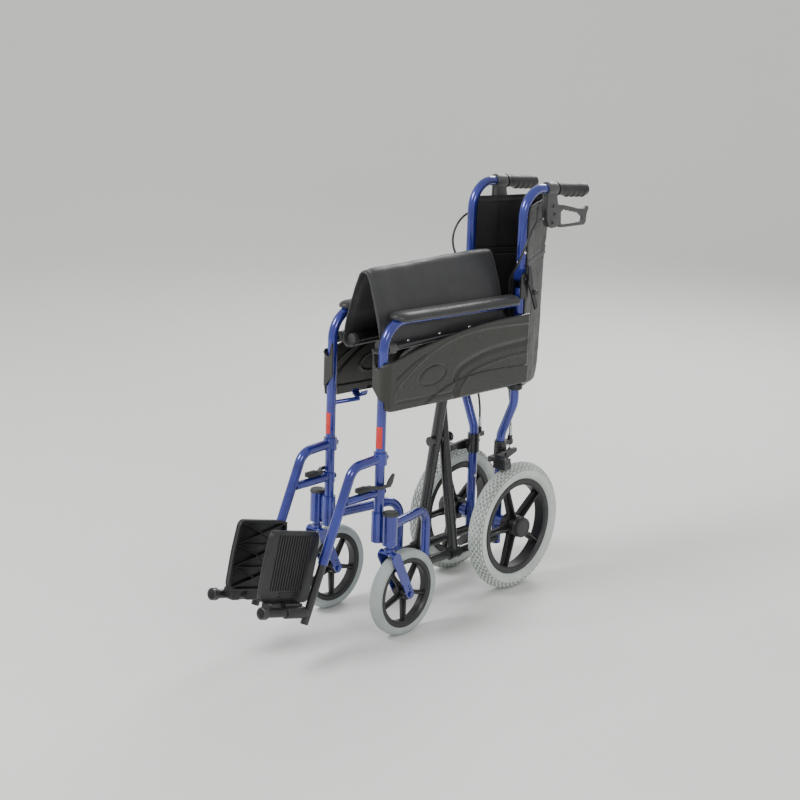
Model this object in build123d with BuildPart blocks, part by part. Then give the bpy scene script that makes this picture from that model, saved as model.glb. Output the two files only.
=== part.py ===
from build123d import *
from math import asin, atan2, cos, degrees, hypot, pi, radians, sin, sqrt
import os

# Transport wheelchair, folded as it stands for storage.
# Millimetres. X is across the chair (its left side is +X), -Y is forwards, +Z is up, and the
# wheels stand on z = 0. Every left-hand piece is drawn once and mirrored to the right.

# Driving dimensions
front_y = -176.80         # front tubes, measured from the middle of the overall length
frame_half = 77.0         # middle plane to the upper side-frame tubes
lower_half = 42.0         # middle plane to the lower rails and the lower canes
cane_run = 466.0          # front tubes to rear canes
tube_r = 11.0
wall = 1.8
fit_gap = 0.08            # running clearance on a radius
loose_gap = 0.4

rail_z = 112.0            # lower rails
pin_z = 386.0             # centre pin of the folding cross
seat_z = 2 * pin_z - rail_z
arm_front_z, arm_rear_z = 722.0, 704.0
socket_z, socket_top_z = 223.0, 292.0
hinge_z = 762.0           # folding-back hinge
handle_z, handle_end_z = 971.0, 949.0
handle_run = 692.0

rear_r, rear_half = 156.0, 93.0
castor_r, castor_half, castor_trail = 100.0, 113.0, 50.0

leg_slope = 0.433         # forward run of a leg for each unit of drop
pedal_rise = 0.2516       # rise of a pedal's pivot pin for each unit forwards
pedal_z = 113.0           # where the pivot pin crosses the leg

cross_gap = 15.0          # middle of the cross to the middle of each of its two tubes
cross_y = 290.0
open_half = 177.0         # middle plane to a lower rail of the open chair
sling_reach = 177.0       # seat rail to the fold of the seat cloth
back_reach = 212.0        # cane to the fold of the back cloth


def at(x, y, z):
    """A point from its distance across, its distance behind the front tubes and its height."""
    return (x, front_y + y, z)


def save(piece, label):
    piece.label = label
    export_step(piece, f"parts/{label}.step")


def save_pair(piece, label):
    save(piece, f"{label}_left")
    save(mirror(piece, about=Plane.YZ), f"{label}_right")


def side_plane(x, y, z):
    """A sketch plane facing +X, with its own x to the rear and its own y up."""
    return Plane(origin=at(x, y, z), x_dir=(0, 1, 0), z_dir=(1, 0, 0))


def axle_plane(x, y, z):
    """A sketch plane through a wheel's middle, with its own x along the axle and its y up."""
    return Plane(origin=at(x, y, z), x_dir=(1, 0, 0), z_dir=(0, -1, 0))


def facing(start, direction):
    return Plane(origin=start, z_dir=direction)


def arm_height(y):
    """Height of the arm tube's middle line."""
    return arm_front_z + (arm_rear_z - arm_front_z) * y / (cane_run - 8)


def bar(start, end, radius, mode=Mode.ADD):
    """A round bar between two points."""
    run = Vector(*end) - Vector(*start)
    with BuildSketch(facing(start, run)) as section:
        Circle(radius)
    extrude(section.sketch, amount=run.length, mode=mode)


def tube(points, radius, bend, thickness=wall):
    """A bent round tube along straight runs joined by arcs."""
    with BuildPart() as bent:
        with BuildLine() as route:
            FilletPolyline(*points, radius=bend)
        with BuildSketch(facing(route.line @ 0, route.line % 0)):
            Circle(radius)
            if thickness:
                Circle(radius - thickness, mode=Mode.SUBTRACT)
        sweep(path=route.line)
    return bent.part


def rail_cradle(tube_y, cradle_y):
    """The hook that a seat rail drops into when the chair is open, on its strut."""
    open_z = rail_z + 2 * open_rise
    bar(at(frame_half - 6, tube_y, 512), at(lower_half, cradle_y, open_z - 20), 5)
    with BuildSketch(Plane.XZ.offset(-front_y - cradle_y + 10)) as hook:
        with Locations((lower_half, open_z)):
            Circle(16)
            Circle(12.6, mode=Mode.SUBTRACT)
        with Locations((lower_half, open_z + 10)):
            Rectangle(40, 20, mode=Mode.SUBTRACT)
    extrude(hook.sketch, amount=-20)


# The folding cross: each arm runs from a lower rail to the seat rail on the other side
arm_length = hypot(lower_half, pin_z - rail_z)
folded_angle = asin(lower_half / arm_length)
open_angle = asin(open_half / arm_length)
open_rise = arm_length * cos(open_angle)

os.makedirs("parts", exist_ok=True)

# ---------------------------------------------------------------- side frames

# Front tube, bent back at the top to carry the armrest
arm_route = [at(frame_half, 0, socket_z), at(frame_half, 0, arm_front_z),
             at(frame_half, cane_run - 8, arm_rear_z)]
arm_bend = 62.0
with BuildPart() as front_arm_tube:
    add(tube(arm_route, tube_r, arm_bend))
    bar(at(frame_half, cane_run, 660), at(frame_half, cane_run, 740), tube_r, Mode.SUBTRACT)
    rail_cradle(7, 55)
save_pair(front_arm_tube.part, "front_arm_tube")

# Rear cane, set inwards below the seat to clear the wheel, with the fixed rear axle in its boss
with BuildPart() as rear_cane:
    add(tube([at(frame_half, cane_run, 738), at(frame_half, cane_run, 458),
              at(lower_half, cane_run, 372), at(lower_half, cane_run, 98)], tube_r, 55))
    rail_cradle(cane_run - 7, 415)
    bar(at(lower_half + 5, cane_run, rear_r), at(68, cane_run, rear_r), 16)
    bar(at(66, cane_run, rear_r), at(118, cane_run, rear_r), 6)
    bar(at(114.5, cane_run, rear_r), at(119, cane_run, rear_r), 10)
save_pair(rear_cane.part, "rear_cane")

# Weldment at the front: socket on the front tube, castor housing and arch tube
arch_foot = at(lower_half, 203, rail_z)
with BuildPart() as front_socket:
    add(tube([at(frame_half, 6, 245), at(lower_half, 203, 247), arch_foot], tube_r, 40, 0))
    bar(at(frame_half, 0, socket_z), at(frame_half, 0, socket_top_z), 15.5)
    bar(at(castor_half, 0, 224), at(castor_half, 0, 293), 17)
    with Locations(at((frame_half + castor_half) / 2, 0, 258)):
        Box(24, 10, 54)
    bar(at(frame_half, 0, 200), at(frame_half, 0, 300), tube_r, Mode.SUBTRACT)
    bar(at(castor_half, 0, 200), at(castor_half, 0, 288), 8 + fit_gap, Mode.SUBTRACT)
    bar(at(lower_half, 180, rail_z), at(lower_half, 230, rail_z), tube_r, Mode.SUBTRACT)
save_pair(front_socket.part, "front_socket")

# Dust cap over the castor housing
with BuildPart() as castor_cap:
    bar(at(castor_half, 0, 293), at(castor_half, 0, 301), 17.8)
    fillet(castor_cap.faces().sort_by(Axis.Z)[-1].edges(), radius=5)
save_pair(castor_cap.part, "castor_cap")

# Lower rail that the folding cross turns on
with BuildPart() as lower_rail:
    bar(at(lower_half, 188, rail_z), at(lower_half, cane_run - 4, rail_z), tube_r)
    bar(at(lower_half, cane_run, 90), at(lower_half, cane_run, 130), tube_r, Mode.SUBTRACT)
save_pair(lower_rail.part, "lower_rail")

# Moulded side panel, hooked round the front tube, with the bar above it and its collar on the cane
panel_x, panel_t = 88.6, 4.0
bar_x, bar_z, bar_r = 75.0, 661.0, 6.7
with BuildPart() as side_panel:
    with BuildSketch(side_plane(panel_x, 0, 0)):
        with BuildLine():
            Line((-15, 545), (-15, 632))
            Spline((-15, 632), (20, 637), (120, 653), (241, 671), (360, 678), (486, 677))
            Polyline((486, 677), (492, 507), (214, 514), (12, 521))
            RadiusArc((12, 521), (-15, 545), 28)
        make_face()
    extrude(amount=panel_t)
    with BuildSketch(Plane.XY.offset(546)):
        with Locations(at(77, 2, 0)[:2]):
            Rectangle(27.5, 34)
        with Locations(at(77, 6, 0)[:2]):
            Rectangle(23.2, 35.2, mode=Mode.SUBTRACT)
    extrude(amount=85)
    bar(at(bar_x, 8, bar_z), at(bar_x, cane_run, bar_z), bar_r)
    bar(at(bar_x, 8, bar_z), at(bar_x, 36, bar_z), 11.7)
    bar(at(frame_half, cane_run, 493), at(frame_half, cane_run, 505), 18)
    bar(at(frame_half, cane_run, 480), at(frame_half, cane_run, 700), tube_r, Mode.SUBTRACT)
    add(tube(arm_route, tube_r, arm_bend, 0), mode=Mode.SUBTRACT)
save_pair(side_panel.part, "side_panel")

# Armrest pad
pad_front, pad_rear = 30.0, 450.0
with BuildPart() as arm_pad:
    for pad_y in (pad_front, pad_rear):
        with BuildSketch(Plane.XZ.offset(-front_y - pad_y)):
            with Locations((frame_half, arm_height(pad_y) + 3)):
                RectangleRounded(48, 30, 9)
    loft()
    for drop in (0, 4, 8, 12):
        bar(at(frame_half, 0, arm_height(0) - drop), at(frame_half, 500, arm_height(500) - drop),
            tube_r + loose_gap, Mode.SUBTRACT)
    with Locations(at(frame_half, 30, 700)):
        Box(60, 70, 28, mode=Mode.SUBTRACT)
save_pair(arm_pad.part, "arm_pad")

# ---------------------------------------------------------------- folding back

# Hinge cheeks on the lower cane, with the pivot pin across them
with BuildPart() as back_hinge:
    with BuildSketch(side_plane(frame_half - 14.6, cane_run, 0)):
        with Locations((0, 738)):
            Rectangle(26, 48)
        with Locations((0, hinge_z)):
            Circle(13)
    extrude(amount=29.2)
    with BuildSketch(side_plane(frame_half - 11.6, cane_run, 0)):
        with Locations((0, 745)):
            Rectangle(60, 100)
    extrude(amount=23.2, mode=Mode.SUBTRACT)
    bar(at(frame_half - 17, cane_run, hinge_z), at(frame_half + 17, cane_run, hinge_z), 4)
save_pair(back_hinge.part, "back_hinge")

# Upper cane: tongue at the hinge, then the tube up to the push handle
with BuildPart() as upper_cane:
    add(tube([at(frame_half, cane_run, 778), at(frame_half, cane_run, handle_z),
              at(frame_half, handle_run, handle_end_z)], tube_r, 62))
    with BuildSketch(side_plane(frame_half - 11, cane_run, 0)):
        with Locations((0, hinge_z + 11)):
            Rectangle(20, 22)
        with Locations((0, hinge_z)):
            Circle(10)
            Circle(4 + fit_gap, mode=Mode.SUBTRACT)
    extrude(amount=22)
save_pair(upper_cane.part, "upper_cane")

# Lever that frees the back hinge
with BuildPart() as back_lever:
    with BuildSketch(side_plane(frame_half + 18, cane_run, 0)):
        with BuildLine():
            Polyline((2, 792), (12, 790), (20, 750), (44, 690), (36, 684), (8, 744), (2, 792))
        make_face()
        with Locations((13, 752)):
            Circle(9)
    extrude(amount=4)
save_pair(back_lever.part, "back_lever")

# Push-handle grip with finger ridges below
slope = (handle_end_z - handle_z) / (handle_run - cane_run)


def handle_height(y):
    return handle_z + slope * (y - cane_run)


with BuildPart() as grip:
    bar(at(frame_half, 586, handle_height(586)), at(frame_half, 702, handle_height(702)), 15.5)
    for ridge in range(4):
        ridge_y = 622 + 20 * ridge
        bar(at(frame_half, ridge_y, handle_height(ridge_y) - 4),
            at(frame_half, ridge_y + 9, handle_height(ridge_y + 9) - 4), 15.5)
    bar(at(frame_half, 580, handle_height(580)), at(frame_half, 694, handle_height(694)),
        tube_r, Mode.SUBTRACT)
save_pair(grip.part, "grip")

# Brake housing clamped under the handle, slotted for its lever
lever_y, lever_z = 573.0, 900.0
with BuildPart() as brake_body:
    bar(at(frame_half, 545, handle_height(545)), at(frame_half, 581, handle_height(581)), 16)
    with BuildSketch(side_plane(frame_half - 8, 0, 0)):
        with BuildLine():
            Polyline((545, 955), (581, 952), (582, 930), (597, 908), (598, 884), (586, 870),
                     (560, 870), (545, 888), (545, 955))
        make_face()
    extrude(amount=16)
    with BuildSketch(side_plane(frame_half - 4.4, 0, 0)):
        with Locations((584, 896)):
            Rectangle(44, 44)
    extrude(amount=8.8, mode=Mode.SUBTRACT)
    bar(at(frame_half, 540, handle_height(540)), at(frame_half, 600, handle_height(600)),
        tube_r, Mode.SUBTRACT)
    bar(at(frame_half - 9, lever_y, lever_z), at(frame_half + 9, lever_y, lever_z), 3)
save_pair(brake_body.part, "brake_body")

# Looped brake lever
with BuildPart() as brake_lever:
    with BuildSketch(side_plane(frame_half - 5, 0, 0)):
        with BuildLine():
            Polyline((602, 922), (676, 905), (712, 905), (714, 897), (707, 888), (705, 866),
                     (698, 862), (602, 864), (602, 922))
        make_face()
        with BuildLine():
            Polyline((606, 911), (610, 913), (680, 896), (692, 886), (693, 872), (606, 873),
                     (606, 911))
        make_face(mode=Mode.SUBTRACT)
    extrude(amount=10)
    with BuildSketch(side_plane(frame_half - 4, 0, 0)):
        with Locations((lever_y, lever_z)):
            Circle(8)
        with Locations((589, 900)):
            Rectangle(34, 15)
        with Locations((lever_y, lever_z)):
            Circle(3 + fit_gap, mode=Mode.SUBTRACT)
    extrude(amount=8)
save_pair(brake_lever.part, "brake_lever")

# Brake cable, from the housing round the cane and down behind the panel to the brake
cable_r = 2.6
cable_points = [(77, 543, 893), (86, 520, 897), (100, 487, 893), (109, 457, 873), (110, 436, 840),
                (100, 429, 806), (82, 435, 781), (62, 445, 760), (55, 456, 731), (54, 461, 680),
                (54, 463, 620), (55, 464, 560), (54, 471, 505), (50, 484, 462), (48, 492, 424),
                (48, 494, 392), (48, 494.5, 366.4)]


def arc_radii(points):
    """The largest tangent arc at each corner that leaves its neighbours room."""
    radii = []
    for before, corner, after in zip(points, points[1:], points[2:]):
        run_in = Vector(*corner) - Vector(*before)
        run_out = Vector(*after) - Vector(*corner)
        half_turn = radians(run_in.get_angle(run_out)) / 2
        radii.append(0.45 * min(run_in.length, run_out.length) / (sin(half_turn) / cos(half_turn)))
    return radii


cable_radii = arc_radii(cable_points)
print("cable radii", [round(r) for r in cable_radii])
with BuildPart() as brake_cable:
    with BuildLine() as cable_route:
        FilletPolyline(*[at(*p) for p in cable_points], radius=cable_radii)
    with BuildSketch(facing(cable_route.line @ 0, cable_route.line % 0)):
        Circle(cable_r)
    sweep(path=cable_route.line)
cable_length = sum(edge.length for edge in cable_route.edges())
cable_volume = pi * cable_r ** 2 * cable_length
print("cable length", round(cable_length), "volume", round(brake_cable.part.volume / cable_volume, 4))
save_pair(brake_cable.part, "brake_cable")

# ---------------------------------------------------------------- rear brakes

arm_pivot_y, arm_pivot_z = 462.0, 327.0
anchor_x, anchor_y = 48.0, 494.5
with BuildPart() as brake_bracket:
    bar(at(lower_half, cane_run, 344), at(lower_half, cane_run, 357), 15)
    with Locations(at(45, cane_run + 20, 350.5)):
        Box(14, 32, 11)
    bar(at(anchor_x, anchor_y, 344), at(anchor_x, anchor_y, 366), 6)
    bar(at(anchor_x, anchor_y, 340), at(anchor_x, anchor_y, 346), 1.5)
    bar(at(lower_half, cane_run, 311), at(lower_half, cane_run, 343), 15)
    bar(at(lower_half, arm_pivot_y, arm_pivot_z), at(57, arm_pivot_y, arm_pivot_z), 10)
    bar(at(50, arm_pivot_y, arm_pivot_z), at(68, arm_pivot_y, arm_pivot_z), 4)
    bar(at(lower_half, cane_run, 300), at(lower_half, cane_run, 360), tube_r, Mode.SUBTRACT)
save_pair(brake_bracket.part, "brake_bracket")

# Arm that the cable pulls up at the rear, with its shoe over the tyre at the front
with BuildPart() as brake_arm:
    with BuildSketch(side_plane(57.5, 0, 0)):
        with BuildLine():
            Polyline((502, 337), (502, 328), (464, 316), (450, 317), (402, 322), (402, 334),
                     (450, 338), (502, 337))
        make_face()
        with Locations((arm_pivot_y, arm_pivot_z)):
            Circle(12)
            Circle(4 + fit_gap, mode=Mode.SUBTRACT)
    extrude(amount=8)
    bar(at(46, anchor_y, 332), at(60, anchor_y, 332), 3.5)
    with Locations(at(84, 412, 330)):
        Box(52, 22, 10)
    with Locations(at(93, 412, 318)):
        Box(36, 24, 16)
save_pair(brake_arm.part, "brake_arm")

# ---------------------------------------------------------------- wheels


def tyre(x, y, radius, section, seat):
    """A solid tyre, flat where it sits on the rim."""
    with BuildPart() as ring:
        with BuildSketch(axle_plane(x, y, radius)):
            with Locations((0, radius - section)):
                Circle(section)
            with Locations((0, seat / 2)):
                Rectangle(4 * section, seat, mode=Mode.SUBTRACT)
        revolve(axis=Axis(at(x, y, radius), (1, 0, 0)))
    return ring.part


def rim(x, y, height, outer, width, hub, hub_width, bore, spoke, first):
    """A five-spoked moulded wheel."""
    with BuildPart() as disc:
        with BuildSketch(axle_plane(x, y, height)):
            with Locations((0, outer - 5)):
                Rectangle(width, 10)
            with Locations((0, (hub + bore) / 2)):
                Rectangle(hub_width, hub - bore)
        revolve(axis=Axis(at(x, y, height), (1, 0, 0)))
        with BuildSketch(side_plane(x, y, height)):
            with PolarLocations((outer + hub) / 2 - 4, 5, start_angle=first):
                Rectangle(outer - hub - 2, spoke)
        extrude(amount=width / 4, both=True)
    return disc.part


save_pair(tyre(rear_half, cane_run, rear_r, 22, 118.3), "rear_tyre")

# Rear wheel with its snap-on hub cap
with BuildPart() as rear_wheel:
    add(rim(rear_half, cane_run, rear_r, 118, 32, 22, 42, 6 + fit_gap, 20, 38))
    with BuildSketch(axle_plane(114.2, cane_run, rear_r)):
        with Locations((7, 9.75)):
            Rectangle(14, 19.5)
        with Locations((3, 6)):
            Rectangle(6.4, 12.1, mode=Mode.SUBTRACT)
    revolve(axis=Axis(at(114.2, cane_run, rear_r), (1, 0, 0)))
save_pair(rear_wheel.part, "rear_wheel")

save_pair(tyre(castor_half, castor_trail, castor_r, 15, 76.3), "castor_tyre")
save_pair(rim(castor_half, castor_trail, castor_r, 76, 24, 15, 36, 4 + fit_gap, 14, 56),
          "castor_wheel")

# Castor fork with its stem and the wheel's axle bolt
with BuildPart() as castor_fork:
    with BuildSketch(side_plane(castor_half - 24, 0, 0)):
        with Locations((0, 196)):
            Circle(13)
        with Locations((castor_trail, castor_r)):
            Circle(11)
        make_hull()
    extrude(amount=48)
    with BuildSketch(side_plane(castor_half - 20, 0, 0)):
        with Locations((30, 120)):
            Rectangle(260, 165)
    extrude(amount=40, mode=Mode.SUBTRACT)
    bar(at(castor_half, 0, 205), at(castor_half, 0, 286), 8)
    bar(at(castor_half, 0, 208), at(castor_half, 0, 215), 12)
    bar(at(castor_half - 27, castor_trail, castor_r), at(castor_half + 27, castor_trail, castor_r), 4)
    for side in (-1, 1):
        bar(at(castor_half + side * 24, castor_trail, castor_r),
            at(castor_half + side * 28, castor_trail, castor_r), 6.5)
        for spare in (1, 2):
            spare_y = castor_trail - 9 * spare * 0.46
            spare_z = castor_r + 9 * spare * 0.89 + 6
            bar(at(castor_half + side * 19, spare_y, spare_z),
                at(castor_half + side * 26, spare_y, spare_z), 2.5, Mode.SUBTRACT)
save_pair(castor_fork.part, "castor_fork")

# ---------------------------------------------------------------- legrests

leg_top_y, leg_top_z, leg_end_z = 88.0, 412.0, 211.0


def leg_point(z):
    """A point on the leg's slanted middle line."""
    return at(frame_half, -leg_top_y - leg_slope * (leg_top_z - z), z)


with BuildPart() as hanger:
    add(tube([at(frame_half, -8, 416), at(frame_half, -leg_top_y, leg_top_z), leg_point(leg_end_z)],
             tube_r, 38))
    bar(at(frame_half, 0, 402), at(frame_half, 0, 430), 15.5)
    bar(at(frame_half, -12, 338), at(frame_half, -111, 338), 9.5)
    bar(leg_point(350), leg_point(326), tube_r - wall, Mode.SUBTRACT)
    bar(at(frame_half, 0, 327), at(frame_half, 0, 349), 15.5)
    bar(at(frame_half, 0, 300), at(frame_half, 0, 440), tube_r + fit_gap, Mode.SUBTRACT)
    with Locations(at(frame_half, 12, 338)):
        Box(40, 20, 30, mode=Mode.SUBTRACT)
save_pair(hanger.part, "hanger")

# Catch that locks the hanger to the front tube
with BuildPart() as hanger_latch:
    with BuildSketch(Plane.XY.offset(350)):
        with BuildLine():
            Polyline(at(70, -72, 0)[:2], at(84, -72, 0)[:2], at(84, -30, 0)[:2], at(96, -14, 0)[:2],
                     at(96, 18, 0)[:2], at(91, 18, 0)[:2], at(91, -12, 0)[:2], at(79, -26, 0)[:2],
                     at(70, -26, 0)[:2], at(70, -72, 0)[:2])
        make_face()
    extrude(amount=6)
    with Locations(at(93.5, 14, 362)):
        Box(5, 20, 22)
    bar(at(frame_half, -45, 348), at(frame_half, -45, 360), 5)
save_pair(hanger_latch.part, "hanger_latch")

# Telescopic leg with the pedal's pivot pin
pin_dir = Vector(0, -1, pedal_rise).normalized()
pin_start = Vector(*leg_point(pedal_z))


def pin_point(distance):
    return tuple(pin_start + pin_dir * distance)


with BuildPart() as foot_tube:
    bar(leg_point(leg_end_z + 67), leg_point(88), 9.1)
    bar(pin_point(0), pin_point(132), 6)
    bar(pin_point(131.2), pin_point(144), 13.5)
    bar(pin_point(6), pin_point(13.5), 11)
save_pair(foot_tube.part, "foot_tube")

# Flip-up footplate: tread outwards, ribs inwards, barrel round the pin
pedal_plane = Plane(origin=pin_point(0), x_dir=tuple(pin_dir), z_dir=(1, 0, 0))
up_sign = 1 if pedal_plane.y_dir.Z > 0 else -1
plate_rear, plate_front, plate_low, plate_top = -18.0, 134.0, 15.0, 173.0
plate_inset, plate_t, plate_skin = 33.7, 12.0, 5.0
plate_middle = ((plate_rear + plate_front) / 2, up_sign * (plate_low + plate_top) / 2)
with BuildPart() as footplate:
    bar(pin_point(14.2), pin_point(130.6), 9.5)
    bar(pin_point(14.2), pin_point(72), 12.5)
    with BuildSketch(pedal_plane.offset(-plate_inset)):
        with Locations(plate_middle):
            RectangleRounded(plate_front - plate_rear, plate_top - plate_low, 12)
    extrude(amount=plate_t)
    with BuildSketch(pedal_plane.offset(-plate_inset)):
        with Locations(plate_middle):
            RectangleRounded(plate_front - plate_rear - 10, plate_top - plate_low - 10, 7)
            for lean in (-1, 1):
                with Locations((0, 0, 0)):
                    Rectangle(240, 4, rotation=46 * lean, mode=Mode.SUBTRACT)
    extrude(amount=plate_t - plate_skin, mode=Mode.SUBTRACT)
    with BuildSketch(pedal_plane.offset(-plate_inset)):
        with Locations((65, up_sign * 12)):
            Rectangle(98, 14)
    extrude(amount=plate_inset - 2)
    bar(pin_point(0), pin_point(160), 6 + fit_gap, Mode.SUBTRACT)
save_pair(footplate.part, "footplate")

# ---------------------------------------------------------------- folding cross and seat


def cross_arm(side, y):
    """One arm, with its sleeve on the lower rail at -side and its head at the seat rail at side."""
    low = Vector(*at(-side * lower_half, y, rail_z))
    high = Vector(*at(side * lower_half, y, seat_z))
    along = (high - low).normalized()
    with BuildPart() as arm:
        with BuildSketch(Plane(origin=low, x_dir=(0, 1, 0), z_dir=along)):
            Ellipse(11, 14)
        extrude(amount=(high - low).length)
        bar(at(-side * lower_half, y - 16, rail_z), at(-side * lower_half, y + 16, rail_z), 15.5)
        bar(at(-side * lower_half, y - 30, rail_z), at(-side * lower_half, y + 30, rail_z),
            tube_r + fit_gap, Mode.SUBTRACT)
        bar(at(side * lower_half, y - 30, seat_z), at(side * lower_half, y + 30, seat_z),
            12, Mode.SUBTRACT)
        bar(at(0, y - 30, pin_z), at(0, y + 30, pin_z), 5 + fit_gap, Mode.SUBTRACT)
        with Locations(at(side * (lower_half + 20), y, seat_z + 14)):
            Box(70, 60, 36, mode=Mode.SUBTRACT)
    return arm.part


save(cross_arm(1, cross_y - cross_gap), "brace_p")

with BuildPart() as brace_q:
    add(cross_arm(-1, cross_y + cross_gap))
    bar(at(0, 255, pin_z), at(0, 325, pin_z), 5)
    bar(at(0, 254, pin_z), at(0, 263.6, pin_z), 12)
    bar(at(0, 316.4, pin_z), at(0, 326, pin_z), 12)
    bar(at(0, 286.4, pin_z), at(0, 293.6, pin_z), 10)
save(brace_q.part, "brace_q")

with BuildPart() as seat_rail:
    bar(at(lower_half, 42, seat_z), at(lower_half, 436, seat_z), 12)
    bar(at(lower_half, 30, seat_z), at(lower_half, 42, seat_z), 12.4)
    bar(at(lower_half, 436, seat_z), at(lower_half, 446, seat_z), 12.4)
save_pair(seat_rail.part, "seat_rail")

# ---------------------------------------------------------------- upholstery


def seat_half():
    """Half of the seat cloth, standing up from its rail to the fold in the middle."""
    lean = asin(lower_half / sling_reach)
    cloth = Plane(origin=at(lower_half, 15, seat_z), x_dir=(-sin(lean), 0, cos(lean)),
                  z_dir=(0, 1, 0))
    with BuildPart() as half:
        with BuildSketch(cloth):
            with Locations((90, 0)):
                Rectangle(153, 4)
        extrude(amount=425)
    return half.part


def back_half(low, high):
    """Half of a back cloth, from its cane back to the fold in the middle."""
    depth = sqrt(back_reach ** 2 - frame_half ** 2)
    cloth = Plane(origin=at(frame_half, cane_run, low),
                  x_dir=(-frame_half / back_reach, depth / back_reach, 0), z_dir=(0, 0, 1))
    with BuildPart() as half:
        with BuildSketch(cloth):
            with Locations((112.5, 0)):
                Rectangle(183, 4)
        extrude(amount=high - low)
    return half.part


save_pair(seat_half(), "seat_cloth")
save_pair(back_half(470, 730), "back_cloth_lower")
save_pair(back_half(788, 930), "back_cloth_upper")

print("folded", round(degrees(folded_angle), 3), "open", round(degrees(open_angle), 3),
      "travel", round(degrees(open_angle - folded_angle), 4), "seat rail open z",
      round(rail_z + 2 * open_rise, 2))
print("leg top", pin_point(0), "leg angle", round(degrees(atan2(leg_slope, 1)), 2))
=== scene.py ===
from math import acos, atan2, cos, degrees, exp, hypot, pi, radians, sin, sqrt

import bmesh
import bpy
from mathutils import Matrix, Vector, noise


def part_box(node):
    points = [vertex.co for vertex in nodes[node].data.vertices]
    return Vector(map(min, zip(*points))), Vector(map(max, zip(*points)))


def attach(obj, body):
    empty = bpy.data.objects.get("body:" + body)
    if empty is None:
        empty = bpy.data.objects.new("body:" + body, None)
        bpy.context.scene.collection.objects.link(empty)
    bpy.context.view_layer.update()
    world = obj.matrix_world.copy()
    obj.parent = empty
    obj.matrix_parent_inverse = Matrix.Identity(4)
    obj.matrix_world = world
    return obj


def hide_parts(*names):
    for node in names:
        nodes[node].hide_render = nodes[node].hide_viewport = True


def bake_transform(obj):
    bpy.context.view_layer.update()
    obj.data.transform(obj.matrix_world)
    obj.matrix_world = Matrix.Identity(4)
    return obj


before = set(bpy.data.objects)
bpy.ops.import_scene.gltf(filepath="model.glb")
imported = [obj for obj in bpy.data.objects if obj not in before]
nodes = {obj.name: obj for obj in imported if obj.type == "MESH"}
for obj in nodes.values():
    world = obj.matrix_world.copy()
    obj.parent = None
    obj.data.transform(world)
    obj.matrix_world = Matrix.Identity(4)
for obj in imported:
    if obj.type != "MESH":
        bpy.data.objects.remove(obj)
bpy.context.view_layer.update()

# Shapes are worked out in millimetres, with y as the distance behind the front tubes, and are drawn
# for the left side (+X). make() turns them into the frame's metres and mirrors them to the right.
MM = 0.001
SIDES = (("left", 1), ("right", -1))


def middle(node):
    low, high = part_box(node)
    return (low + high) / 2 / MM


front_y = middle("castor_cap_left").y
frame_half = middle("upper_cane_left").x
lower_half = middle("lower_rail_left").x
cane_run = middle("back_hinge_left").y - front_y
tube_r = 11.0
rear_x = middle("rear_tyre_left").x
rear_r = middle("rear_tyre_left").z
castor_x = middle("castor_tyre_left").x
castor_y = middle("castor_tyre_left").y - front_y
castor_r = middle("castor_tyre_left").z
seat_z = middle("seat_rail_left").z
camera_heading = radians(41.725)


def at(x, y, z):
    return Vector((x * MM, (front_y + y) * MM, z * MM))


def arm_height(y):
    """Height of the arm tube's middle line."""
    return 722 - 18 * y / (cane_run - 8)


def handle_height(y):
    """Height of the push handle's middle line."""
    return 971 - 22 * (y - cane_run) / (692 - cane_run)


# ---------------------------------------------------------------- camera, light and floor


def look():
    """The camera, by its place, its heading, its downward tilt and its roll."""
    heading, tilt, roll = camera_heading, radians(15.298), radians(1.929)
    ahead = Vector((-sin(heading) * cos(tilt), cos(heading) * cos(tilt), -sin(tilt)))
    level = Vector((cos(heading), sin(heading), 0))
    upright = level.cross(ahead)
    right = level * cos(roll) + upright * sin(roll)
    up = upright * cos(roll) - level * sin(roll)
    lens = bpy.data.cameras.new("camera")
    lens.sensor_width = 36
    lens.lens = 82.845
    camera = bpy.data.objects.new("camera", lens)
    turn = Matrix((right, up, -ahead)).transposed().to_4x4()
    camera.matrix_world = Matrix.Translation(at(2686.9, -2867.95, 1611.3)) @ turn
    bpy.context.scene.collection.objects.link(camera)
    bpy.context.scene.camera = camera


def area_light(name, place, target, size, power):
    """A soft round light. Its places are in metres."""
    data = bpy.data.lights.new(name, "AREA")
    data.shape = "DISK"
    data.size = size
    data.energy = power
    light = bpy.data.objects.new(name, data)
    light.location = place
    light.rotation_euler = (Vector(target) - Vector(place)).to_track_quat("-Z", "Y").to_euler()
    bpy.context.scene.collection.objects.link(light)


def studio():
    """A pale room: three lights, and a floor that curves up behind the chair."""
    world = bpy.data.worlds.new("studio")
    bpy.context.scene.world = world
    world.use_nodes = True
    world.node_tree.nodes["Background"].inputs["Color"].default_value = (0.90, 0.905, 0.885, 1)
    world.node_tree.nodes["Background"].inputs["Strength"].default_value = 0.86
    area_light("key", (-1.2, -3.0, 3.6), (0, 0, 0.4), 1.6, 150)
    area_light("side", (3.6, -1.6, 2.4), (0, 0, 0.5), 1.2, 34)
    area_light("back", (-1.0, 3.0, 2.4), (0, 0.2, 0.6), 1.4, 60)
    reach, bend_from, bend = 9000, 4200, 2600
    curve = [(bend_from + bend * sin(radians(a)), bend - bend * cos(radians(a)))
             for a in range(6, 91, 6)]
    profile = [(-reach, 0), (bend_from, 0), *curve, (bend_from + bend, reach)]
    out = Vector((-sin(camera_heading), cos(camera_heading), 0))
    level = Vector((cos(camera_heading), sin(camera_heading), 0))
    rings = [[out * run + level * reach + Vector((0, 0, rise)),
              out * run - level * reach + Vector((0, 0, rise))] for run, rise in profile]
    floor = Piece().add(*loft(rings, closed=False, caps=False)).make("floor", [floor_paint], 1, 60)


# ---------------------------------------------------------------- materials


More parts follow.
